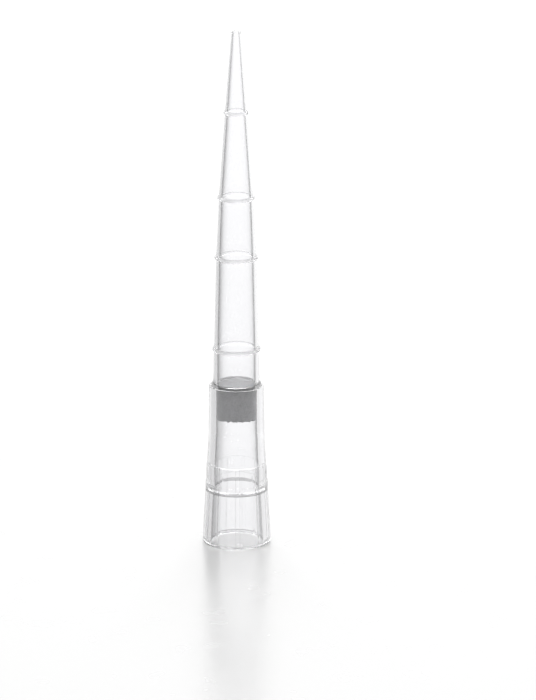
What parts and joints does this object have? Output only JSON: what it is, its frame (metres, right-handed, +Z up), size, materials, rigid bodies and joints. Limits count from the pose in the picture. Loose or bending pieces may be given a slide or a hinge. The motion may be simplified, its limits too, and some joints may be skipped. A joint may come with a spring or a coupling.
{
  "type": "pipette tip",
  "caption": "Clear tapered filter pipette tip with raised volume marks, a stepped collar round its porous filter plug and a banded hub with an open socket.",
  "frame": {"origin": "middle of the flat annular face of the wide rim, on the bore's axis", "axes": "+Z runs up the bore's axis from the rim to the narrow dispensing end; one of the socket's nine flutes is centred 2.5 degrees from -Y, towards +X"},
  "size_m": [0.007, 0.007, 0.053],
  "materials": {
    "clear_polypropylene": "clear moulded polypropylene, glossy with a faint milkiness",
    "porous_polyethylene": "sintered porous polyethylene, matt and finely grained"
  },
  "bodies": {
    "root": {"tip_body": "clear_polypropylene", "filter_plug": "porous_polyethylene"}
  },
  "joints": []
}
